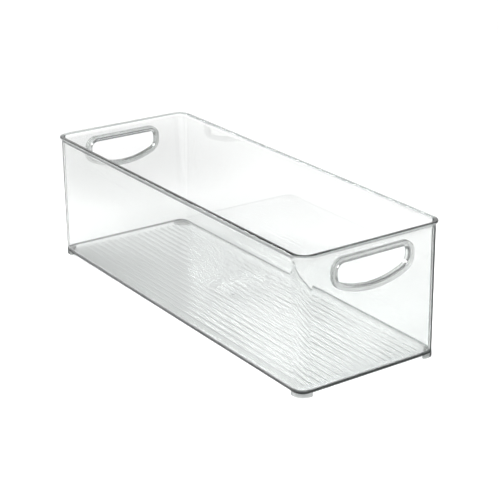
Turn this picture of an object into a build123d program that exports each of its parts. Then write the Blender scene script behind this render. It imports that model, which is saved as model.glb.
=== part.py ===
from build123d import *
import os

# Clear fridge bin: a deep open tub with a flared rim and a ribbed floor, a soft grip
# ring in the hand hole of each end wall, and a cushion foot under each corner.
# Millimetres, +Z up. The origin is on the shelf under the middle of the bin, +Y runs
# along the length, and the front end is the one at -Y.

# ---- overall ----
length = 410.0  # over the rim
width = 150.0  # over the rim
height = 125.0  # shelf to rim
foot_height = 3.0  # shelf to the underside of the tub

# ---- tub ----
wall = 2.0
floor_thickness = 2.4
rim_overhang = 1.8  # how far the flared rim stands out from the wall
rim_edge = 1.2  # thickness of the rim's outer edge
rim_round = 0.5
flare_height = 5.5  # from where the wall starts to curve outwards to the top
straight_band = 7.0  # upright part of the wall under the rim, with no draft
draft = 0.5  # how far each wall leans in from the band to the base
wall_radius = 12.2  # outer corner radius at the top of the wall
base_radius = 9.0  # outer corner radius at the base
base_edge_round = 2.0  # outer edge between wall and underside
inner_edge_round = 2.0  # inner edge between wall and floor

# ---- floor ribs and gate mark ----
rib_count = 18
rib_pitch = 7.0
rib_width = 1.8
rib_length = 388.0
rib_height = 0.3
rib_round = 0.25
gate_radius = 1.8
gate_height = 0.5

# ---- hand holes: straight top, short upright sides, bowed bottom ----
hole_width = 75.0
hole_top = 111.5
hole_bottom = 86.5
hole_shoulder = 96.0  # where the upright sides meet the bowed bottom
hole_top_radius = 6.5
hole_bottom_radius = 9.0

# ---- grip rings ----
sleeve = 1.6  # thickness of the ring inside the wall's hole
flange_reach = 5.0  # from the opening to the outer edge of the flanges
outer_flange = 1.6  # how far the flange stands proud outside
inner_flange = 1.2  # the same inside
collar_reach = 2.8  # narrow collar on the inner flange
collar_depth = 3.2
grip_round = 0.75  # edges of the outer flange and of the collar
inner_round = 0.7  # edge of the inner flange

# ---- feet ----
foot_leg = 16.0  # along each wall, before rounding
foot_proud = 0.3  # how far a foot stands out from the wall
foot_wrap = 1.4  # how far a foot climbs round the tub's bottom edge
foot_tip_radius = 1.6
foot_round = 0.7

# ---- worked out from the above ----
wall_width = width - 2 * rim_overhang
wall_length = length - 2 * rim_overhang
base_width = wall_width - 2 * draft
base_length = wall_length - 2 * draft
band_bottom = height - straight_band
floor_top = foot_height + floor_thickness
flare_drop = flare_height - rim_edge
flare_radius = (flare_drop**2 + rim_overhang**2) / (2 * rim_overhang)  # upright where it starts
tiny = 0.01

os.makedirs("parts", exist_ok=True)


def level_edges(part, level):
    """The edges that lie wholly at one height."""
    return part.edges().filter_by_position(Axis.Z, level - tiny, level + tiny)


def hand_hole(margin):
    """A hand hole's face, grown outwards by margin, with x across and y upright."""
    half = hole_width / 2
    with BuildSketch() as hole:
        with BuildLine():
            Line((-half, hole_top), (half, hole_top))
            Line((half, hole_top), (half, hole_shoulder))
            ThreePointArc((half, hole_shoulder), (0, hole_bottom), (-half, hole_shoulder))
            Line((-half, hole_shoulder), (-half, hole_top))
        make_face()
        corners = hole.vertices().group_by(Axis.Y)
        fillet(corners[-1], hole_top_radius)
        corners = hole.vertices().filter_by(lambda v: abs(v.Y - hole_shoulder) < tiny)
        fillet(corners, hole_bottom_radius)
        if margin:
            offset(amount=margin)
    return hole.sketch


def leaning_block(base, top, radii, z_base, edge_round):
    """A rounded block whose sides lean out up to the upright band under the rim.

    base and top are (width, length) at its two ends, and radii the corner radii there.
    """
    with BuildPart() as block:
        with BuildSketch(Plane.XY.offset(z_base)):
            RectangleRounded(*base, radii[0])
        with BuildSketch(Plane.XY.offset(band_bottom)):
            RectangleRounded(*top, radii[1])
        loft()
        fillet(level_edges(block, z_base), edge_round)
    return block.part


# ---- tub ----
sleeve_outline = hand_hole(sleeve)
outer_skin = leaning_block(
    (base_width, base_length),
    (wall_width, wall_length),
    (base_radius, wall_radius),
    foot_height,
    base_edge_round,
)
inside = leaning_block(
    (base_width - 2 * wall, base_length - 2 * wall),
    (wall_width - 2 * wall, wall_length - 2 * wall),
    (base_radius - wall, wall_radius - wall),
    floor_top,
    inner_edge_round,
)

# the upright band with its flared rim, one section carried round the top
with BuildPart() as rim_band:
    with BuildLine(Plane.XY.offset(height)) as rim_path:
        Polyline(
            (wall_width / 2, 0),
            (wall_width / 2, wall_length / 2),
            (-wall_width / 2, wall_length / 2),
            (-wall_width / 2, -wall_length / 2),
            (wall_width / 2, -wall_length / 2),
            (wall_width / 2, 0),
        )
        fillet(rim_path.vertices().filter_by(lambda v: abs(v.Y) > 1), wall_radius)
    with BuildSketch(Plane.XZ):
        with BuildLine():
            flare = RadiusArc(
                (wall_width / 2, height - flare_height),
                (width / 2, height - rim_edge),
                flare_radius,
            )
            Polyline(
                flare @ 1,
                (width / 2, height),
                (wall_width / 2 - wall, height),
                (wall_width / 2 - wall, band_bottom),
                (wall_width / 2, band_bottom),
                flare @ 0,
            )
        make_face()
    sweep(path=rim_path.wire())

with BuildPart() as tub:
    add(outer_skin)
    add(inside, mode=Mode.SUBTRACT)
    add(rim_band.part)
    fillet(level_edges(tub, height), rim_round)

    # ribs along the floor, and the gate mark at its centre
    with BuildSketch(Plane.XY.offset(floor_top)):
        with GridLocations(rib_pitch, 0, rib_count, 1):
            SlotOverall(rib_length, rib_width, rotation=90)
    extrude(amount=rib_height)
    fillet(level_edges(tub, floor_top + rib_height), rib_round)
    with BuildSketch(Plane.XY.offset(floor_top)):
        Circle(gate_radius)
    extrude(amount=gate_height)

    # hand holes through both end walls, as large as the sleeves of the grip rings
    with BuildSketch(Plane.XZ):
        add(sleeve_outline)
    extrude(amount=length, both=True, mode=Mode.SUBTRACT)
tub.part.label = "tub"
export_step(tub.part, "parts/tub.step")

# ---- grip rings: a flange each side of the wall, joined by a sleeve through its hole ----
wall_face = -wall_length / 2  # outside of the front end wall, at the band
outside_face = wall_face - outer_flange
inside_face = wall_face + wall + inner_flange
opening = hand_hole(0)
flange_outline = hand_hole(flange_reach)
collar_outline = hand_hole(collar_reach)

with BuildPart() as front_handle_grip:
    with BuildSketch(Plane.XZ.offset(-inside_face)):
        add(flange_outline)
    extrude(amount=inside_face - outside_face)
    with BuildSketch(Plane.XZ.offset(-inside_face)):
        add(collar_outline)
    extrude(amount=inner_flange - collar_depth)
    with BuildSketch(Plane.XZ):
        add(opening)
    extrude(amount=length, mode=Mode.SUBTRACT)
    outer_rims = front_handle_grip.faces().filter_by(Axis.Y)
    fillet(outer_rims.sort_by(Axis.Y)[0].edges(), grip_round)
    fillet(outer_rims.sort_by(Axis.Y)[-1].edges(), grip_round)
    fillet(outer_rims.sort_by(Axis.Y)[1].outer_wire().edges(), inner_round)
    add(tub.part, mode=Mode.SUBTRACT)
front_handle_grip.part.label = "front_handle_grip"
export_step(front_handle_grip.part, "parts/front_handle_grip.step")

with BuildPart() as rear_handle_grip:
    mirror(front_handle_grip.part, about=Plane.XZ)
rear_handle_grip.part.label = "rear_handle_grip"
export_step(rear_handle_grip.part, "parts/rear_handle_grip.step")

# ---- feet: a rounded corner pad that wraps the tub's bottom edge ----
foot_x = base_width / 2 + foot_proud
foot_y = base_length / 2 + foot_proud
for end, y_side in (("front", -1), ("rear", 1)):
    for side, x_side in (("left", -1), ("right", 1)):
        with BuildPart() as foot:
            with BuildSketch() as pad:
                with BuildLine():
                    Polyline(
                        (x_side * foot_x, y_side * foot_y),
                        (x_side * (foot_x - foot_leg), y_side * foot_y),
                        (x_side * foot_x, y_side * (foot_y - foot_leg)),
                        close=True,
                    )
                make_face()
                tips = pad.vertices().sort_by_distance((0, 0))[:2]
                fillet(tips, foot_tip_radius)
                corner = pad.vertices().sort_by_distance((0, 0))[-1]
                fillet(corner, base_radius + foot_proud)
            extrude(amount=foot_height + foot_wrap)
            fillet(level_edges(foot, 0), foot_round)
            add(tub.part, mode=Mode.SUBTRACT)
        foot.part.label = f"{end}_{side}_foot"
        export_step(foot.part, f"parts/{end}_{side}_foot.step")
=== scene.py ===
import math
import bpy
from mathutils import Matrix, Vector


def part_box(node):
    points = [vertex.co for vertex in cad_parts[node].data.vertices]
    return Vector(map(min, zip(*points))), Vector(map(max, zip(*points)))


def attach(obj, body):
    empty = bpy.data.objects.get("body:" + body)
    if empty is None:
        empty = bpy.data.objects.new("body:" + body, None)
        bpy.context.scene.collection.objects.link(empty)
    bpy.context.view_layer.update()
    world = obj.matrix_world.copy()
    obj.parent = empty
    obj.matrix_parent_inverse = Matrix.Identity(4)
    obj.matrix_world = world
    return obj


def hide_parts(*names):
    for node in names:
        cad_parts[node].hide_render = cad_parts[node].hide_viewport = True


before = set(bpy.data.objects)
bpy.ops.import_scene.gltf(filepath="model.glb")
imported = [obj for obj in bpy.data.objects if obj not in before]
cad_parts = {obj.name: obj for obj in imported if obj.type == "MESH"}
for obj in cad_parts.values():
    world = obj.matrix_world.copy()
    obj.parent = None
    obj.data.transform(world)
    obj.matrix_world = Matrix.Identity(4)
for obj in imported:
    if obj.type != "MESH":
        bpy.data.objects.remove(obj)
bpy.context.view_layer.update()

from types import SimpleNamespace

import bmesh
import bpy
import numpy as np
from bpy.props import FloatProperty, FloatVectorProperty, IntProperty, PointerProperty
from mathutils import Matrix, Vector

bl_info = {
    "name": "Clear fridge bin",
    "version": (1, 0, 0),
    "blender": (4, 5, 0),
    "location": "3D View > Sidebar > Fridge bin",
    "description": "A clear moulded fridge bin with grip rings, corner feet and a pale studio",
    "category": "Add Mesh",
}

TUB_LOW, TUB_HIGH = (np.array(corner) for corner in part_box("tub"))
BODY = "root"
ENDS = {"front": -1, "rear": 1}
SIDES = {"left": -1, "right": 1}

MERGE = 2e-7  # metres: points closer than this are one
SHARP = math.radians(38)
AIR = 3e-5  # gap between two pieces that touch
SWELL = 0.25  # how much a rib's height varies, as a share
SWELL_ALONG, SWELL_ACROSS = 0.13, 0.09  # metres over which it does
LOWER_FROM, LOWER_TO = -0.02, 0.1  # metres along: the ribs get lower from one to the other
FULL_RIB, LOW_RIB = 0.8, 0.3  # shares of a rib's height before and after that
WINDOW_BELOW, WINDOW_ABOVE = 1.3, 1.1  # a wall's window round its hand hole, in flange widths
WINDOW_SPAN = 0.72  # how far along the straight of an end wall the window goes, as a share
FLOOR_SPACES = 26  # grid lines along the floor between the gate mark and a rib's end
ARC_POINTS = 13  # round each corner of the tub

# radii at the corners of a grip ring's section, and how far in the rings over a foot's edge lie
GRIP_ROUNDS = np.array([0.75, 0.75, 0.1, 0, 0, 0.1, 0.7, 0.3, 0.75, 0.75]) / 1000
FOOT_LIP = np.array([0, 0.1, 0.25, 0.4, 0.55, 0.8, 1.1, 1.5]) / 1000


# ---------------------------------------------------------------- settings


def length_property(name, description, default):
    return FloatProperty(name=name, description=description, default=default, unit="LENGTH")


class TubSizes(bpy.types.PropertyGroup):
    """Sizes of the moulded tub."""

    wall: length_property("Wall", "Thickness of the walls", 0.002)
    floor: length_property("Floor", "Thickness of the floor between its ribs", 0.0024)
    overhang: length_property("Overhang", "How far the rim stands out from the wall", 0.0018)
    rim_edge: length_property("Rim edge", "Height of the rim's outer edge", 0.0012)
    rim_round: length_property("Rim rounding", "Radius of the rim's top edges", 0.0005)
    flare: length_property("Flare", "Height over which the wall curves out to the rim", 0.0055)
    band: length_property("Band", "Upright stretch of wall under the rim", 0.007)
    draft: length_property("Draft", "How far a wall leans in from the band to the base", 0.0005)
    wall_radius: length_property("Wall radius", "Corner radius at the top", 0.0122)
    base_radius: length_property("Base radius", "Corner radius at the base", 0.009)
    edge_round: length_property("Edge rounding", "Radius between walls and floor", 0.002)


class RibSizes(bpy.types.PropertyGroup):
    """Sizes of the ribs along the floor and of the gate mark at its centre."""

    count: IntProperty(name="Ribs", description="Number of ribs", default=18, min=1)
    pitch: length_property("Pitch", "Distance from one rib to the next", 0.007)
    height: length_property("Height", "How far a rib stands up", 0.0002)
    width: length_property("Width", "Width of a rib", 0.0018)
    length: length_property("Length", "Length of a rib", 0.388)
    gate_radius: length_property("Gate radius", "Radius of the gate mark", 0.0018)
    gate_height: length_property("Gate height", "Height of the gate mark", 0.0005)


class HoleSizes(bpy.types.PropertyGroup):
    """Outline of a hand hole and section of the grip ring in it."""

    width: length_property("Width", "Width of the opening", 0.075)
    top: length_property("Top", "Height of its straight top edge", 0.1115)
    bottom: length_property("Bottom", "Height of the lowest point of its bow", 0.0865)
    shoulder: length_property("Shoulder", "Height where the bow would meet the sides", 0.096)
    top_radius: length_property("Top radius", "Radius of the upper corners", 0.0065)
    bottom_radius: length_property("Bottom radius", "Radius of the lower corners", 0.009)
    sleeve: length_property("Sleeve", "Thickness of the ring inside the wall", 0.0016)
    reach: length_property("Reach", "Width of the ring's flanges", 0.005)
    outer: length_property("Outer flange", "How far the ring stands out", 0.0016)
    inner: length_property("Inner flange", "How far the ring stands in", 0.0012)
    collar_reach: length_property("Collar reach", "Width of the inner collar", 0.0028)
    collar_depth: length_property("Collar depth", "How far the collar stands in", 0.0032)


class FootSizes(bpy.types.PropertyGroup):
    """Sizes of a corner foot."""

    leg: length_property("Leg", "Length along each wall before rounding", 0.016)
    proud: length_property("Proud", "How far a foot stands out from the wall", 0.0003)
    wrap: length_property("Wrap", "How far a foot climbs the tub's bottom edge", 0.0014)
    tip_radius: length_property("Tip radius", "Radius of a foot's two tips", 0.0016)
    edge_round: length_property("Edge rounding", "Radius of its lower edge", 0.0007)


# ---------------------------------------------------------------- outlines


def fractions(points):
    """The numbers strictly between the first and the last of points, as shares of their span."""
    points = np.asarray(points, float)
    return (points[1:-1] - points[0]) / (points[-1] - points[0])


def track(centres, radii, turns, counts, runs):
    """An outline of arcs joined by straight runs, as three arrays (spot, way, radius).

    Its points are spot + (radius + grow) * way. Arc i turns about centres[i] from
    turns[i][0] to turns[i][1] degrees in counts[i] points. The run to the next arc has
    a point at each fraction in runs[i], with spot and radius shared out in proportion.
    """
    spots, ways, sizes = [], [], []
    for i, (start, end) in enumerate(turns):
        after = (i + 1) % len(turns)
        angle = np.radians(np.linspace(start, end, counts[i]))
        share = np.asarray(runs[i], float)[:, None]
        arc_way = np.stack([np.cos(angle), np.sin(angle)], 1)
        here, there = np.array(centres[i], float), np.array(centres[after], float)
        spots += [np.tile(here, (counts[i], 1)), here + (there - here) * share]
        ways += [arc_way, np.tile(arc_way[-1], (len(share), 1))]
        sizes += [
            np.full(counts[i], radii[i]),
            radii[i] + (radii[after] - radii[i]) * share[:, 0],
        ]
    return np.concatenate(spots), np.concatenate(ways), np.concatenate(sizes)


def grown(outline, amount):
    """The points of a track's outline, moved outwards by amount."""
    spot, way, radius = outline
    return spot + (radius + amount)[:, None] * way


def hand_hole_track(hole, corner_points, bow_points, top_points):
    """A hand hole: straight top, upright sides and a bowed bottom.

    The bow's radius is (half chord squared + rise squared) / (2 * rise). Each lower
    corner's centre is its own radius in from the side, and the bow's radius less its
    own from the bow's centre.
    """
    half = hole.width / 2
    rise = hole.shoulder - hole.bottom
    bow = (half**2 + rise**2) / (2 * rise)
    bow_centre = hole.bottom + bow
    low_x = half - hole.bottom_radius
    low_z = bow_centre - math.sqrt((bow - hole.bottom_radius) ** 2 - low_x**2)
    lean = math.degrees(math.atan2(bow_centre - low_z, low_x))
    top_x, top_z = half - hole.top_radius, hole.top - hole.top_radius
    none = []
    return track(
        [(top_x, top_z), (-top_x, top_z), (-low_x, low_z), (0, bow_centre), (low_x, low_z)],
        [hole.top_radius, hole.top_radius, hole.bottom_radius, bow, hole.bottom_radius],
        [(0, 90), (90, 180), (180, 180 + lean), (180 + lean, 360 - lean), (360 - lean, 360)],
        [corner_points, corner_points, corner_points, bow_points, corner_points],
        [fractions(np.linspace(0, 1, top_points)), [0.5], none, none, [0.5]],
    )


def rounded_section(corners, radii, points=7):
    """A closed section with its corners rounded.

    Each corner of radius r is cut r / tan(half its angle) from its point along both
    sides, and points run along the arc between by turning one cut about the centre.
    """
    corners = np.array(corners, float)
    found = []
    for i, radius in enumerate(radii):
        here = corners[i]
        before, after = corners[i - 1] - here, corners[(i + 1) % len(corners)] - here
        before, after = before / np.linalg.norm(before), after / np.linalg.norm(after)
        if radius == 0:
            found.append(here[None])
            continue
        half = math.acos(np.clip(before @ after, -1, 1)) / 2
        middle = (before + after) / np.linalg.norm(before + after)
        centre = here + middle * radius / math.sin(half)
        first = here + before * radius / math.tan(half) - centre
        last = here + after * radius / math.tan(half) - centre
        sweep = math.pi - 2 * half
        share = np.linspace(0, 1, points)[:, None]
        arc = first * np.sin((1 - share) * sweep) + last * np.sin(share * sweep)
        found.append(centre + arc / math.sin(sweep))
    return np.concatenate(found)


# ---------------------------------------------------------------- meshes


def grid_faces(rows, columns, first=0, wrap=False):
    """The quads of a grid of points numbered row by row from first.

    Point (row, column) is first + row * columns + column. With wrap, the last column
    joins the first.
    """
    row, column = np.meshgrid(
        np.arange(rows - 1), np.arange(columns if wrap else columns - 1), indexing="ij"
    )
    after = (column + 1) % columns
    corners = [row * columns + column, row * columns + after]
    corners += [(row + 1) * columns + after, (row + 1) * columns + column]
    return first + np.stack(corners, -1).reshape(-1, 4)


def ring_faces(first_ring, second_ring):
    """The quads between two closed rings of point numbers of the same length."""
    return np.stack(
        [first_ring, np.roll(first_ring, -1), np.roll(second_ring, -1), second_ring], 1
    )


def new_piece(name, points, faces, material, nodes):
    """A closed mesh piece that rides on the bin and stands for CAD nodes."""
    mesh = bpy.data.meshes.new(name)
    mesh.from_pydata(points.tolist(), [], faces.tolist())
    shape = bmesh.new()
    shape.from_mesh(mesh)
    bmesh.ops.remove_doubles(shape, verts=shape.verts, dist=MERGE)
    bmesh.ops.dissolve_degenerate(shape, edges=shape.edges, dist=MERGE)
    bmesh.ops.recalc_face_normals(shape, faces=shape.faces)
    open_edges = [edge for edge in shape.edges if len(edge.link_faces) != 2]
    if open_edges:
        raise RuntimeError(f"{name} isn't closed: {len(open_edges)} edges have no second face")
    shape.to_mesh(mesh)
    shape.free()
    mesh.polygons.foreach_set("use_smooth", np.ones(len(mesh.polygons), bool))
    mesh.set_sharp_from_angle(angle=SHARP)
    mesh.materials.append(material)
    piece = bpy.data.objects.new(name, mesh)
    bpy.context.scene.collection.objects.link(piece)
    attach(piece, BODY)
    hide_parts(*nodes)


# ---------------------------------------------------------------- the tub


def tub_form(tub):
    """The tub's half sizes and heights, from the frame and its settings."""
    half = TUB_HIGH[:2] - tub.overhang
    form = SimpleNamespace(half=half, low=TUB_LOW[2], top=TUB_HIGH[2])
    form.band_bottom = form.top - tub.band
    form.floor_top = form.low + tub.floor
    return form


def lean_at(tub, form, z):
    """How far the wall has leaned in at height z: none in the band, all of it at the base."""
    share = np.clip((form.band_bottom - z) / (form.band_bottom - form.low), 0, 1)
    return tub.draft * share


def radius_at(tub, form, z):
    """Outer corner radius at height z, shared out between the base and the band."""
    share = np.clip((z - form.low) / (form.band_bottom - form.low), 0, 1)
    return tub.base_radius + (tub.wall_radius - tub.base_radius) * share


def tub_section(tub, form, wall_levels):
    """The tub's section, from the middle of the underside out, up, over the rim and in.

    Each row is (inset from the upright wall's outer face, height, corner radius). The
    rounded edges are quarter circles, and the flare is an arc that starts upright:
    outwards = radius - square root of (radius squared - height gained squared).
    """
    edge, wall = tub.edge_round, tub.wall
    quarter = np.radians(np.linspace(0, 90, 8))
    base_radius = radius_at(tub, form, form.low)

    # the underside's edge
    inset = tub.draft + edge * (1 - np.sin(quarter))
    z = form.low + edge * (1 - np.cos(quarter))
    rows = [np.stack([inset, z, base_radius - edge * (1 - np.sin(quarter))], 1)]

    # outside of the wall
    z = np.array(wall_levels)
    rows.append(np.stack([lean_at(tub, form, z), z, radius_at(tub, form, z)], 1))

    # flare and rim
    drop = tub.flare - tub.rim_edge
    flare_radius = (drop**2 + tub.overhang**2) / (2 * tub.overhang)
    gain = np.linspace(0, drop, 9)
    out = flare_radius - np.sqrt(flare_radius**2 - gain**2)
    flare_start = form.top - tub.flare
    rim = rounded_section(
        [
            (0.0, flare_start + drop),
            (-tub.overhang, flare_start + drop),
            (-tub.overhang, form.top),
            (wall, form.top),
            (wall, flare_start + drop),
        ],
        [0, 0, tub.rim_round, tub.rim_round, 0],
    )[2:-1]
    inset = np.concatenate([-out, rim[:, 0]])
    z = np.concatenate([flare_start + gain, rim[:, 1]])
    rows.append(np.stack([inset, z, tub.wall_radius - inset], 1))

    # inside of the wall
    z = np.array(wall_levels)[::-1]
    z = z[z > form.floor_top + edge]
    z = np.concatenate([[flare_start], z, [form.floor_top + edge + wall / 8]])
    rows.append(np.stack([lean_at(tub, form, z) + wall, z, radius_at(tub, form, z) - wall], 1))

    # the edge between wall and floor
    inset = wall + lean_at(tub, form, form.floor_top) + edge * (1 - np.cos(quarter))
    z = form.floor_top + edge * (1 - np.sin(quarter))
    inner_radius = radius_at(tub, form, form.floor_top) - wall
    rows.append(np.stack([inset, z, inner_radius - edge * (1 - np.cos(quarter))], 1))
    return np.concatenate(rows)


def floor_height(ribs, x, y):
    """How far the floor's upper face stands above its plain level at (x, y).

    Across a rib it is a raised cosine: half of 1 + cos(turn), for one turn over the
    rib's width. Its height swells and sinks a little over the floor, by a product of two
    long cosines, gets lower towards the rear in a straight ramp, and fades to nothing at
    the rib's ends by a smooth step. The gate mark is a low dome: one minus the square of
    the distance over its radius.
    """
    step = (ribs.count - 1) / 2
    nearest = np.clip(np.round(x / ribs.pitch + step), 0, ribs.count - 1)
    off = x - (nearest - step) * ribs.pitch
    turn = 2 * np.pi
    wave = np.where(np.abs(off) < ribs.width / 2, 0.5 + 0.5 * np.cos(turn * off / ribs.width), 0)
    fade = np.clip((ribs.length / 2 - np.abs(y)) / ribs.pitch * 2, 0, 1)
    swell = 1 + SWELL * np.cos(turn * y / SWELL_ALONG) * np.cos(turn * x / SWELL_ACROSS)
    swell = swell * np.interp(y, [LOWER_FROM, LOWER_TO], [FULL_RIB, LOW_RIB])
    ridge = ribs.height * wave * fade * fade * (3 - 2 * fade) * swell
    dome = ribs.gate_height * np.clip(1 - (x**2 + y**2) / ribs.gate_radius**2, 0, 1)
    return np.maximum(ridge, dome)


def floor_lines(ribs, half_x, half_y):
    """Where the floor's grid lines lie across and along.

    They are closer at the ribs, at the ribs' ends and at the gate mark.
    """
    middles = (np.arange(ribs.count) - (ribs.count - 1) / 2) * ribs.pitch
    over = np.linspace(-ribs.width / 2, ribs.width / 2, 9)
    x = np.concatenate([(middles[:, None] + over).ravel(), [-half_x, half_x]])
    gate = np.linspace(-1, 1, 9) * ribs.gate_radius * 1.2
    x = np.sort(np.concatenate([x, gate[np.abs(gate) < ribs.pitch / 2 - ribs.width / 2]]))
    end = ribs.length / 2
    near = np.linspace(end - ribs.pitch / 2, end, 6)
    plain = np.linspace(gate[-1] * 2, end - ribs.pitch, FLOOR_SPACES)
    y = np.concatenate([plain, near, [half_y]])
    return x, np.concatenate([-y[::-1], gate, y])


def wall_hole(points, ring, outline, y_of, across):
    """New points that lead from a ring of grid points round to a hole's outline.

    A hole point lies on the line from the hole's middle to its ring point, where that
    line meets the outline; its distance is read off the outline by angle. The points
    between are shared out evenly.
    """
    middle = np.array([0, (outline[:, 1].max() + outline[:, 1].min()) / 2])
    flat = points[ring][:, [0, 2]] - middle
    edge = outline - middle
    angle, reach = np.arctan2(edge[:, 1], edge[:, 0]), np.linalg.norm(edge, axis=1)
    reach = np.interp(np.arctan2(flat[:, 1], flat[:, 0]), angle, reach, period=2 * np.pi)
    hole = flat * (reach / np.linalg.norm(flat, axis=1))[:, None]
    share = np.linspace(0, 1, across)[1:, None, None]
    blend = flat + (hole - flat) * share + middle
    return np.stack([blend[..., 0], y_of(blend[..., 1]), blend[..., 1]], -1)


def window_ring(rows, columns, width):
    """Numbers of the grid points round a window between two rows and two columns."""
    (low, high), (left, right) = rows, columns
    bottom = low * width + np.arange(left, right)
    side = np.arange(low, high) * width + right
    top = high * width + np.arange(right, left, -1)
    back = np.arange(high, low, -1) * width + left
    return np.concatenate([bottom, side, top, back])


def make_tub(settings, material):
    """The tub: its section carried round a rounded rectangle, with a grid for each floor face.

    A point of the ring is core half size * spot + corner radius * way, for the unit
    square's track. The innermost loops have no corner radius, so they are rectangles
    and meet the floor grids point for point.
    """
    tub, ribs, hole = settings.tub, settings.ribs, settings.hole
    form = tub_form(tub)
    corner = radius_at(tub, form, form.floor_top) - tub.wall - tub.edge_round
    inset = tub.wall + tub.draft + tub.edge_round + corner / 2
    plate = form.half - inset
    x_lines, y_lines = floor_lines(ribs, *plate)
    spot, way, _ = track(
        [(1, 1), (-1, 1), (-1, -1), (1, -1)],
        [0] * 4,
        [(0, 90), (90, 180), (180, 270), (270, 360)],
        [ARC_POINTS] * 4,
        [fractions(x_lines), fractions(y_lines)] * 2,
    )
    window = (hole.bottom - WINDOW_BELOW * hole.reach, hole.top + WINDOW_ABOVE * hole.reach)
    levels = np.concatenate(
        [
            [form.low + tub.edge_round + tub.wall / 8],
            np.linspace(form.low + 4 * tub.edge_round, window[0], 4),
            np.linspace(*window, 11)[1:],
            [form.band_bottom, form.top - tub.flare - tub.wall / 8],
        ]
    )
    section = tub_section(tub, form, levels)
    section = np.concatenate([[[inset, form.low, 0]], section, [[inset, form.floor_top, 0]]])
    core = form.half - section[:, :1] - section[:, 2:]
    flat = core[:, None] * spot + section[:, 2, None, None] * way
    height = np.broadcast_to(section[:, 1, None, None], (*flat.shape[:2], 1))
    ring_points = np.concatenate([flat, height], -1)
    rows, columns = ring_points.shape[:2]
    points = [ring_points.reshape(-1, 3)]
    keep = np.ones((rows - 1, columns), bool)

    # floor grids, above and below
    grid_x, grid_y = np.meshgrid(x_lines, y_lines)
    plates = []
    for level, rise in ((form.low, 0), (form.floor_top, floor_height(ribs, grid_x, grid_y))):
        plates.append(np.stack([grid_x, grid_y, level + rise + 0 * grid_x], -1))
    start = rows * columns
    faces = []
    for plate_points in plates:
        faces.append(grid_faces(len(y_lines), len(x_lines), start))
        points.append(plate_points.reshape(-1, 3))
        start += plate_points.size // 3

    # hand holes: the same window is left out of both skins of both end walls
    outline = grown(hand_hole_track(hole, 24, 48, 40), hole.sleeve)
    near = np.abs(section[:, 1, None] - np.array(window)) < MERGE
    outer_rows = (np.flatnonzero(near[:, 0])[0], np.flatnonzero(near[:, 1])[0])
    inner_rows = (np.flatnonzero(near[:, 1])[-1], np.flatnonzero(near[:, 0])[-1])
    for end in ENDS.values():
        in_window = (np.abs(way[:, 1] - end) < MERGE) & (np.abs(spot[:, 0]) < WINDOW_SPAN)
        left, right = np.flatnonzero(in_window)[[0, -1]]
        loops = []
        for skin, (low, high) in ((0, outer_rows), (1, inner_rows)):
            keep[low:high, left:right] = False
            ring = window_ring((low, high), (left, right), columns)

            def wall_y(z, skin=skin, end=end):
                return end * (form.half[1] - lean_at(tub, form, z) - skin * tub.wall)

            new = wall_hole(points[0], ring, outline, wall_y, 4)
            points.append(new.reshape(-1, 3))
            for loop in new:
                after = start + np.arange(len(loop))
                faces.append(ring_faces(ring, after))
                ring, start = after, start + len(loop)
            loops.append(ring)
        outer, inner = loops
        # the inner skin runs down where the outer runs up, so its ring is turned to match
        outer_points, inner_points = (np.concatenate(points)[loop] for loop in loops)
        apart = np.linalg.norm(inner_points[:, [0, 2]] - outer_points[0, [0, 2]], axis=1)
        inner = np.roll(inner[::-1], -apart[::-1].argmin())
        faces.append(ring_faces(outer, inner))

    faces.append(grid_faces(rows, columns, wrap=True)[keep.ravel()])
    points, faces = np.concatenate(points), np.concatenate(faces)
    new_piece("clear_tub", points, faces, material, ["tub"])


# ---------------------------------------------------------------- grips and feet


def make_grip(settings, material, name, end):
    """A grip ring: its section carried round the hand hole's outline.

    Each section corner is (how far out from the opening, how far out from the wall's
    outer face). Every point then leans with the wall at its own height.
    """
    tub, hole = settings.tub, settings.hole
    form = tub_form(tub)
    wall = tub.wall
    section = rounded_section(
        [
            (0, hole.outer),
            (hole.reach, hole.outer),
            (hole.reach, AIR),
            (hole.sleeve - AIR, AIR),
            (hole.sleeve - AIR, -wall - AIR),
            (hole.reach, -wall - AIR),
            (hole.reach, -wall - hole.inner),
            (hole.collar_reach, -wall - hole.inner),
            (hole.collar_reach, -wall - hole.collar_depth),
            (0, -wall - hole.collar_depth),
        ],
        GRIP_ROUNDS,
    )
    outline = hand_hole_track(hole, 14, 40, 12)
    section = np.concatenate([section, section[:1]])
    flat = np.stack([grown(outline, out) for out in section[:, 0]])
    y = end * (form.half[1] - lean_at(tub, form, flat[..., 1]) + section[:, 1, None])
    points = np.stack([flat[..., 0], y, flat[..., 1]], -1)
    faces = grid_faces(*points.shape[:2], wrap=True)
    node = f"{name}_handle_grip"
    new_piece(f"{name}_grip_ring", points.reshape(-1, 3), faces, material, [node])


def under_tub(tub, form, flat):
    """Height of the tub's outer skin over points near its bottom edge.

    The distance in from a rounded rectangle is its radius less the distance to its
    core. Up to the edge's own radius e, the skin is a quarter circle:
    low + e - square root of (e squared - (e - distance) squared).
    """
    half = form.half - tub.draft
    beyond = np.abs(flat) - (half - tub.base_radius)
    outside = np.linalg.norm(np.maximum(beyond, 0), axis=-1)
    inward = tub.base_radius - outside - np.minimum(beyond.max(-1), 0)
    edge = tub.edge_round
    short = np.clip(edge - inward, 0, edge)
    return form.low + edge - np.sqrt(edge**2 - short**2)


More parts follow.
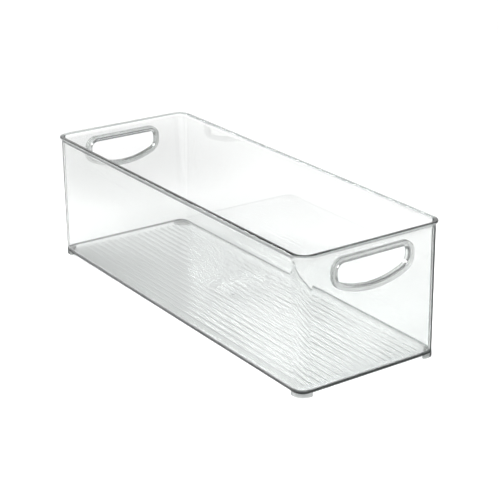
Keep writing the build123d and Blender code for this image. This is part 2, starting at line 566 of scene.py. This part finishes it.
def make_foot(settings, material, name, x_side, y_side):
    """A corner foot: a three-cornered pad whose top takes the shape of the tub above it.

    Its outline is a right triangle with rounded tips. Rings go from its middle out
    along the underside, round the lower edge, up the side and in again over the top,
    where each point's height is the tub's skin less a hair of air.
    """
    tub, foot = settings.tub, settings.foot
    form = tub_form(tub)
    corner = tub.base_radius + foot.proud
    tip = foot.tip_radius
    tip_start = foot.leg - tip / math.tan(math.radians(22.5))
    outline = track(
        [(-corner, -corner), (-tip_start, -tip), (-tip, -tip_start)],
        [corner, tip, tip],
        [(0, 90), (90, 225), (225, 360)],
        [24, 14, 14],
        [fractions(np.linspace(0, 1, 6))] * 3,
    )
    quarter = np.radians(np.linspace(0, 90, 7))
    rounding = foot.edge_round * (np.sin(quarter) - 1)
    rise = foot.edge_round * (1 - np.cos(quarter))
    inward = np.linspace(1, 0, 6)
    side = np.array([x_side, y_side])
    place = form.half - tub.draft + foot.proud

    def ring(grow, share=1.0):
        flat = grown(outline, grow)
        middle = flat.mean(0)
        return (middle + (flat - middle) * share + place) * side

    rings = [np.insert(ring(rounding[0], share), 2, 0, axis=1) for share in inward[::-1]]
    rings += [np.insert(ring(grow), 2, z, axis=1) for grow, z in zip(rounding, rise)]
    over = [ring(-step) for step in FOOT_LIP]
    over += [ring(-FOOT_LIP[-1], share) for share in inward[1:]]
    for flat in over:
        top = np.minimum(under_tub(tub, form, flat) - AIR, form.low + foot.wrap)
        rings.append(np.column_stack([flat, top]))
    points = np.stack(rings)
    faces = grid_faces(*points.shape[:2], wrap=True)
    node = f"{name}_foot"
    new_piece(f"{name}_corner_pad", points.reshape(-1, 3), faces, material, [node])


# ---------------------------------------------------------------- materials

DRIFT_SCALE, HAZE_SCALE = 9.0, 160.0  # noise over the plastic: of its colour, of its roughness
HAZE_FROM = 0.35  # the noise's level at which the roughness starts to grow
# painted shade: a dark outline where a face is seen edge on, and a darker bottom band and rim
EDGE_ON_FROM, EDGE_ON_GAIN = 0.45, 6.0  # layer weight where an outline starts, and its ramp
ROUNDED_GAIN = 60.0  # ramp from a flat side to a rounded one
BAND_GAIN, RIM_GAIN = 1500.0, 2000.0  # ramps at the bottom band's and the rim's edges, per metre
END_BAND, SIDE_BAND = 0.65, 0.2  # outline in the bottom band: what ends have more, what all have
RIM_SHARE = 0.8  # how far the rim goes to the edge colour
OUTLINE_SHARE = 0.95  # how far an outline covers the clear plastic


class Wire:
    """A node's output that arithmetic can be done with; each step adds a Math node."""

    def __init__(self, net, socket):
        self.net, self.socket = net, socket

    def maths(self, operation, *values):
        return self.net.node("Math", {"operation": operation}, dict(enumerate(values)))(0)

    def __add__(self, other):
        return self.maths("ADD", self, other)

    def __radd__(self, other):
        return self.maths("ADD", other, self)

    def __sub__(self, other):
        return self.maths("SUBTRACT", self, other)

    def __rsub__(self, other):
        return self.maths("SUBTRACT", other, self)

    def __mul__(self, other):
        return self.maths("MULTIPLY", self, other)

    def __rmul__(self, other):
        return self.maths("MULTIPLY", other, self)

    def __abs__(self):
        return self.maths("ABSOLUTE", self)

    def or_more(self, other):
        return self.maths("MAXIMUM", self, other)

    def clamped(self):
        return self.maths("MINIMUM", self.or_more(0.0), 1.0)


class Net:
    """The node tree of a material or a world, with every node made by one method."""

    def __init__(self, owner):
        owner.use_nodes = True
        self.tree = owner.node_tree
        self.tree.nodes.clear()

    def node(self, kind, settings=None, values=None):
        """A node of that kind: its settings first, then the values or links of its sockets."""
        node = self.tree.nodes.new(f"ShaderNode{kind}")
        for name, value in (settings or {}).items():
            setattr(node, name, value)
        for name, value in (values or {}).items():
            if isinstance(value, Wire):
                self.tree.links.new(value.socket, node.inputs[name])
            else:
                node.inputs[name].default_value = value
        return lambda output: Wire(self, node.outputs[output])

    def noise(self, where, scale, detail=2.0, roughness=0.5):
        values = {"Vector": where, "Scale": scale, "Detail": detail, "Roughness": roughness}
        return self.node("TexNoise", {}, values)("Fac")

    def blend_colour(self, share, first, second):
        """The colour first + share * (second - first), with no limit on share.

        The Mix node's sockets for colours are inputs 6 and 7 and output 2.
        """
        settings = {"data_type": "RGBA", "clamp_factor": False}
        return self.node("Mix", settings, {0: share, 6: first, 7: second})(2)


def opaque(colour):
    """A colour with its alpha of 1, from three numbers or from one for all three."""
    return (*np.broadcast_to(np.array(colour, float), 3), 1.0)


def painted_shade_shares(net, where, look):
    """How much of each spot is painted shade, as a dark outline and as a darker colour.

    An outline of painted shade is a ramp on how edge on the face is seen, times how
    rounded its side is: a ramp on one minus the larger of its direction's parts along X
    and Y. The bottom band and the rim are painted shade too, ramps on height. The band
    also darkens the outline, more on the ends than on the long sides.
    """
    facing = net.node("LayerWeight", {}, {"Blend": 0.5})("Facing")
    normal = net.node("SeparateXYZ", {}, {"Vector": net.node("TexCoord")("Normal")})
    across, along = abs(normal("X")), abs(normal("Y"))
    upright = 1.0 - abs(normal("Z"))
    rounded = upright * ((1.0 - across.or_more(along)) * ROUNDED_GAIN).clamped()
    edge_on = ((facing - EDGE_ON_FROM) * EDGE_ON_GAIN).clamped() * rounded.or_more(look.outline)
    height = net.node("SeparateXYZ", {}, {"Vector": where})("Z")
    band = ((look.band - height) * BAND_GAIN).clamped() * upright
    rim = ((height - look.rim) * RIM_GAIN).clamped() * RIM_SHARE
    outline = edge_on.or_more(band * (along * END_BAND + SIDE_BAND))
    return outline, edge_on.or_more(band).or_more(rim)


def see_through(name, plastic, look):
    """A clear or cloudy plastic: bends and mirrors light, and lets lamps through softly.

    look gives its IOR, its roughness and how much that varies, how far its face ripples,
    how clear, dense and grey it is, how much its flat sides take an outline of painted
    shade, and the heights of its bottom band and rim of painted shade. Colour and
    roughness drift a little over the surface, as moulded plastic's do.
    """
    material = bpy.data.materials.new(name)
    net = Net(material)
    where = net.node("TexCoord")("Object")
    pale, deep, edge = [np.array(c) for c in (plastic.tint, plastic.deep, plastic.edge)]
    pale, deep = pale + (edge - pale) * look.grey, deep + (edge - deep) * look.grey
    tint = net.blend_colour(net.noise(where, DRIFT_SCALE), opaque(pale), opaque(deep))
    # painted shade: outlines, the bottom band and the rim darken the plastic's colour
    outline, painted_shade_share = painted_shade_shares(net, where, look)
    haze = net.noise(where, HAZE_SCALE, detail=4.0)
    ripple = net.noise(where, look.ripple_scale, detail=1.0)
    grain = net.noise(where, look.grain_scale, detail=3.0)
    relief = {
        "Strength": 1.0,
        "Distance": 1.0,
        "Height": ripple * look.ripple + grain * look.grain,
    }
    values = {
        "Base Color": net.blend_colour(painted_shade_share, tint, opaque(edge)),
        "Roughness": look.roughness + (haze - HAZE_FROM).clamped() * look.rough_spread,
        "IOR": look.ior,
        "Transmission Weight": look.clear,
        "Normal": net.node("Bump", {}, relief)("Normal"),
    }
    clear = net.node("BsdfPrincipled", {}, values)("BSDF")
    # painted shade: a dark shader mixed in where an outline is
    dark = net.node("BsdfDiffuse", {}, {"Color": opaque(plastic.dark)})("BSDF")
    body = net.node("MixShader", {}, {0: outline * OUTLINE_SHARE, 1: clear, 2: dark})("Shader")
    lamps = net.node("BsdfTransparent", {}, {"Color": opaque(plastic.shade)})("BSDF")
    is_shadow = net.node("LightPath")("Is Shadow Ray")
    values = {"Color": opaque(plastic.depth), "Density": look.density}
    output = {
        "Surface": net.node("MixShader", {}, {0: is_shadow, 1: body, 2: lamps})("Shader"),
        "Volume": net.node("VolumeAbsorption", {}, values)("Volume"),
    }
    net.node("OutputMaterial", {}, output)
    return material


def colour_property(name, description, default):
    return FloatVectorProperty(
        name=name, description=description, default=default, subtype="COLOR", min=0, max=1
    )


class PlasticColours(bpy.types.PropertyGroup):
    """Colours that the three plastics share."""

    tint: colour_property("Tint", "Colour of light that has passed a wall", (0.985, 0.99, 0.985))
    deep: colour_property("Deep", "The same where it is tinted most", (0.97, 0.975, 0.97))
    # edge is painted shade: the colour that outlines, the bottom band and the rim go to; the grips
    # and feet are also tinted evenly towards it
    edge: colour_property("Edge", "The same at a face seen edge on", (0.25, 0.28, 0.27))
    # dark is painted shade: the dark shader mixed in at outlines
    dark: colour_property("Dark", "Outline of a face seen edge on", (0.05, 0.055, 0.055))
    shade: colour_property("Shade", "What a face lets through from lamps", (0.78, 0.79, 0.79))
    depth: colour_property("Depth", "Colour that builds up along the plastic", (0.1, 0.13, 0.125))


class Studio(bpy.types.PropertyGroup):
    """Light, floor and camera."""

    paper: FloatProperty(name="Paper", description="Share of light it gives back", default=0.8)
    # glow and left_glow are painted light: the paper floor glows, though it is no lamp
    glow: FloatProperty(name="Glow", description="Light of the floor at the right", default=0.29)
    left_glow: FloatProperty(name="Left glow", description="The same at the left", default=0.85)
    lamp: FloatProperty(name="Lamp", description="Power of the overhead soft box", default=24)
    backdrop: FloatProperty(name="Backdrop", description="Light of the backdrop", default=1.35)
    room: FloatProperty(name="Room", description="Light of the dim room above it", default=0.03)
    side_box: FloatProperty(name="Side box", description="Light of the far soft box", default=62.0)
    left_box: FloatProperty(name="Left box", description="Light from the near left", default=0.5)
    azimuth: FloatProperty(
        name="Azimuth", description="Camera's way round the bin, in degrees", default=-34.54
    )
    elevation: FloatProperty(
        name="Elevation", description="Camera's height, in degrees", default=21.46
    )
    roll: FloatProperty(name="Roll", description="Camera's roll, in degrees", default=-0.39)
    distance: length_property("Distance", "From the camera to the point it aims at", 1.327)
    lens: FloatProperty(name="Lens", description="Focal length in millimetres", default=102.77)
    aim: FloatVectorProperty(
        name="Aim",
        description="Point that the camera looks at",
        default=(0.0102, -0.0122, 0.0516),
        subtype="XYZ",
        unit="LENGTH",
    )


class BinSettings(bpy.types.PropertyGroup):
    """Everything that a user may change."""

    tub: PointerProperty(type=TubSizes)
    ribs: PointerProperty(type=RibSizes)
    hole: PointerProperty(type=HoleSizes)
    foot: PointerProperty(type=FootSizes)
    plastic: PointerProperty(type=PlasticColours)
    studio: PointerProperty(type=Studio)


# ---------------------------------------------------------------- operators

BELOW_ALL, ABOVE_ALL = -1.0, 1.0  # metres: heights that leave out the painted shade of the bottom band and the rim
TUB_PAINTED_SHADE_BAND, TUB_PAINTED_SHADE_RIM = 0.004, 0.0014  # how tall the tub's bottom band and rim of painted shade are

# in each look, outline, band and rim place painted shade: how much flat sides take a dark outline,
# and the heights of the dark bottom band and rim
TUB_LOOK = SimpleNamespace(
    ior=1.5, roughness=0.0, rough_spread=0.02, ripple_scale=14.0, ripple=4e-5,
    grain_scale=220.0, grain=1e-6, clear=1.0, density=92.0, grey=0.0, outline=0.0,
    band=TUB_LOW[2] + TUB_PAINTED_SHADE_BAND, rim=TUB_HIGH[2] - TUB_PAINTED_SHADE_RIM,
)
GRIP_LOOK = SimpleNamespace(
    ior=1.46, roughness=0.14, rough_spread=0.2, ripple_scale=60.0, ripple=3e-5,
    grain_scale=500.0, grain=3e-6, clear=0.88, density=85.0, grey=0.07, outline=0.3,
    band=BELOW_ALL, rim=ABOVE_ALL,
)
FOOT_LOOK = SimpleNamespace(
    ior=1.45, roughness=0.3, rough_spread=0.3, ripple_scale=90.0, ripple=5e-5,
    grain_scale=900.0, grain=1e-5, clear=0.8, density=220.0, grey=0.15, outline=0.6,
    band=BELOW_ALL, rim=ABOVE_ALL,
)


class FRIDGE_BIN_OT_tub(bpy.types.Operator):
    """Make the clear tub with its rim, ribs and hand holes"""

    bl_idname = "fridge_bin.tub"
    bl_label = "Tub"

    def execute(self, context):
        settings = context.scene.fridge_bin
        make_tub(settings, see_through("clear_tub_plastic", settings.plastic, TUB_LOOK))
        return {"FINISHED"}


class FRIDGE_BIN_OT_grips(bpy.types.Operator):
    """Make the grip ring in each hand hole"""

    bl_idname = "fridge_bin.grips"
    bl_label = "Grip rings"

    def execute(self, context):
        settings = context.scene.fridge_bin
        material = see_through("clear_grip_plastic", settings.plastic, GRIP_LOOK)
        for name, end in ENDS.items():
            make_grip(settings, material, name, end)
        return {"FINISHED"}


class FRIDGE_BIN_OT_feet(bpy.types.Operator):
    """Make the pad under each corner"""

    bl_idname = "fridge_bin.feet"
    bl_label = "Feet"

    def execute(self, context):
        settings = context.scene.fridge_bin
        material = see_through("cloudy_foot_plastic", settings.plastic, FOOT_LOOK)
        for end, y_side in ENDS.items():
            for side, x_side in SIDES.items():
                make_foot(settings, material, f"{end}_{side}", x_side, y_side)
        return {"FINISHED"}


# ---------------------------------------------------------------- studio

CLIP = (0.05, 50)  # metres: what is nearer or farther isn't drawn
LIGHT_BOUNCES = 20  # many, because a line of sight can pass four clear walls
PAPER_REACH = 6.0  # metres from the bin to the paper's sides
LAMP_PLACE, LAMP_AIM, LAMP_SIZE = (-0.55, -0.45, 1.5), (0, 0, 0.05), 1.1  # metres

# the paper's own painted light and painted shadows, in metres and per metre
MOTTLE_SCALE, MOTTLE_LOW = 3.0, 0.98  # noise over the paper, and its darker share
BASE_HALF, BASE_GAIN = (0.068, 0.198), 200.0  # half the patch of painted shadow under the bin, and its ramp
UNDER_FROM, UNDER_GAIN, UNDER_LEAST = 0.1, 2.8, 0.1  # painted shadow under the bin: the share of light there, by how near and left
PAINTED_SHADOW_PLACE, PAINTED_SHADOW_FALL, PAINTED_SHADOW_SHARE = (0.13, 0.45), 30.0, 0.75  # painted shadow: a soft dark patch beyond the bin
LEFT_FROM, NEAR_FROM, SIDE_GAIN = 0.05, 0.1, 5.0  # ramps to the left's light
NEAR_SHARE = 0.4  # how far the near paper goes over to it
FAR_ALONG, FAR_ACROSS = 0.7, 1.0  # where the far paper starts to

# the surround's backdrop, in degrees
EDGE_LEAST, EDGE_SLOPE, EDGE_RISE = 10.0, 0.18, 15.8  # its top edge slopes with the turn
EDGE_GAIN = 1.2  # ramp at that edge

# soft boxes of the surround: place, half size and fade, each (turn, height) in degrees
FAR_BOX = ((-33, 28), (9, 6.3), (4, 1))
LEFT_BOX = ((-110, 30), (35, 25), (12, 12))


def point_camera(studio):
    """A camera that looks at the aim point along the given azimuth and elevation."""
    data = bpy.data.cameras.new("studio_camera")
    camera = bpy.data.objects.new("studio_camera", data)
    bpy.context.scene.collection.objects.link(camera)
    data.lens = studio.lens
    data.clip_start, data.clip_end = CLIP
    azimuth, elevation = math.radians(studio.azimuth), math.radians(studio.elevation)
    back = Vector(
        (
            math.sin(azimuth) * math.cos(elevation),
            -math.cos(azimuth) * math.cos(elevation),
            math.sin(elevation),
        )
    )
    roll = Matrix.Rotation(math.radians(studio.roll), 3, "Z")
    turn = back.to_track_quat("Z", "Y").to_matrix() @ roll
    camera.matrix_world = Matrix.LocRotScale(
        Vector(studio.aim) + back * studio.distance, turn, None
    )
    bpy.context.scene.camera = camera


def paper_material(studio):
    """White paper with a faint mottle, and a little light of its own.

    The light, painted light, goes over from the right's to the left's along ramps across,
    along and far out. Under the bin it is a share of that, a painted shadow, which grows
    from the far right to the near left. A soft dark patch beyond the bin, a painted
    shadow, falls off with the square of the distance.
    """
    paper = bpy.data.materials.new("white_paper")
    net = Net(paper)
    where = net.node("TexCoord")("Object")
    mottle = net.noise(where, MOTTLE_SCALE)
    low = opaque(studio.paper * MOTTLE_LOW)
    colour = net.blend_colour(mottle, opaque(studio.paper), low)
    plain = net.node("BsdfDiffuse", {}, {"Color": colour})("BSDF")
    spot = net.node("SeparateXYZ", {}, {"Vector": where})
    across, along = spot("X"), spot("Y")

    # painted shadow under the bin, and a painted shadow patch beyond it
    beyond = (abs(across) - BASE_HALF[0]).or_more(abs(along) - BASE_HALF[1])
    under = (UNDER_FROM - along - across).clamped() * UNDER_GAIN + UNDER_LEAST
    share = (beyond * BASE_GAIN).clamped() * (1.0 - under) + under
    off_x, off_y = across - PAINTED_SHADOW_PLACE[0], along - PAINTED_SHADOW_PLACE[1]
    patch = 1.0 - (off_x * off_x + off_y * off_y) * PAINTED_SHADOW_FALL
    share = share * (1.0 - patch.clamped() * PAINTED_SHADOW_SHARE)

    # painted light: the paper glows brighter towards the left, the near side and far out
    left = ((LEFT_FROM - across) * SIDE_GAIN).clamped()
    near = ((NEAR_FROM - along) * SIDE_GAIN).clamped() * NEAR_SHARE
    far = (along - FAR_ALONG).or_more(abs(across) - FAR_ACROSS).clamped()
    side = left.or_more(near).or_more(far)
    light = net.blend_colour(side, opaque(studio.glow), opaque(studio.left_glow))
    light = net.blend_colour(share, opaque(0.0), light)
    lit = net.node("Emission", {}, {"Color": light, "Strength": 1.0})("Emission")
    both = net.node("AddShader", {}, {0: lit, 1: plain})("Shader")
    net.node("OutputMaterial", {}, {"Surface": both})
    return paper


def soft_lamp(name, place, aim, size, power):
    """A square soft box at place that faces aim."""
    data = bpy.data.lights.new(name, "AREA")
    data.size, data.energy = size, power
    lamp = bpy.data.objects.new(name, data)
    bpy.context.scene.collection.objects.link(lamp)
    turn = (Vector(place) - Vector(aim)).to_track_quat("Z", "Y")
    lamp.matrix_world = Matrix.LocRotScale(Vector(place), turn, None)


def soft_box(way, place, size, fade):
    """One where direction way is inside a patch of the surround, and nothing outside it.

    way, place, size and fade are (turn from +Y towards +X, height) in degrees. The light
    fades over fade degrees, by how far inside the patch the direction is.
    """
    inside = 1.0
    for angle, middle, half, soft in zip(way, place, size, fade):
        inside = inside * ((half - abs(angle - middle)) * (1 / soft)).clamped()
    return inside


def surround(studio):
    """The room: a pale backdrop with a sloping top edge, a dim room above it and soft boxes."""
    world = bpy.data.worlds.new("surround")
    net = Net(world)
    way = net.node("SeparateXYZ", {}, {"Vector": net.node("TexCoord")("Generated")})
    degree = 180 / math.pi
    turn = way("X").maths("ARCTAN2", way("X"), way("Y")) * degree
    rise = way("Z").maths("ARCSINE", way("Z")) * degree
    edge = (turn * EDGE_SLOPE + EDGE_RISE).or_more(EDGE_LEAST)
    backdrop = ((edge - rise) * EDGE_GAIN).clamped()
    level = backdrop * (studio.backdrop - studio.room) + studio.room
    level = level + soft_box((turn, rise), *FAR_BOX) * studio.side_box
    level = level + soft_box((turn, rise), *LEFT_BOX) * studio.left_box
    sky = net.node("Background", {}, {"Color": (1, 1, 1, 1), "Strength": level})
    net.node("OutputWorld", {}, {"Surface": sky("Background")})
    return world


class FRIDGE_BIN_OT_studio(bpy.types.Operator):
    """Make the pale floor, the soft light and the camera"""

    bl_idname = "fridge_bin.studio"
    bl_label = "Studio"

    def execute(self, context):
        studio = context.scene.fridge_bin.studio
        mesh = bpy.data.meshes.new("paper_floor")
        unit_square = [(-1, -1, 0), (1, -1, 0), (1, 1, 0), (-1, 1, 0)]
        corners = (np.array(unit_square) * PAPER_REACH).tolist()
        mesh.from_pydata(corners, [], [(0, 1, 2, 3)])
        floor = bpy.data.objects.new("paper_floor", mesh)
        context.scene.collection.objects.link(floor)
        mesh.materials.append(paper_material(studio))
        context.scene.world = surround(studio)
        soft_lamp("overhead_box", LAMP_PLACE, LAMP_AIM, LAMP_SIZE, studio.lamp)
        point_camera(studio)
        scene = context.scene
        scene.view_settings.view_transform = "Standard"
        scene.cycles.max_bounces = LIGHT_BOUNCES
        scene.cycles.transmission_bounces = LIGHT_BOUNCES
        scene.cycles.transparent_max_bounces = LIGHT_BOUNCES
        return {"FINISHED"}


OPERATORS = (
    FRIDGE_BIN_OT_tub,
    FRIDGE_BIN_OT_grips,
    FRIDGE_BIN_OT_feet,
    FRIDGE_BIN_OT_studio,
)


class FRIDGE_BIN_PT_panel(bpy.types.Panel):
    """Lists the pieces and the studio"""

    bl_label = "Fridge bin"
    bl_idname = "FRIDGE_BIN_PT_panel"
    bl_space_type = "VIEW_3D"
    bl_region_type = "UI"
    bl_category = "Fridge bin"

    def draw(self, context):
        for operator in OPERATORS:
            self.layout.operator(operator.bl_idname)


CLASSES = (
    TubSizes,
    RibSizes,
    HoleSizes,
    FootSizes,
    PlasticColours,
    Studio,
    BinSettings,
    *OPERATORS,
    FRIDGE_BIN_PT_panel,
)


def register():
    for cls in CLASSES:
        bpy.utils.register_class(cls)
    bpy.types.Scene.fridge_bin = PointerProperty(type=BinSettings)


def unregister():
    del bpy.types.Scene.fridge_bin
    for cls in reversed(CLASSES):
        bpy.utils.unregister_class(cls)


def main():
    register()
    bpy.ops.fridge_bin.tub()
    bpy.ops.fridge_bin.grips()
    bpy.ops.fridge_bin.feet()
    bpy.ops.fridge_bin.studio()


if __name__ == "__main__":
    main()
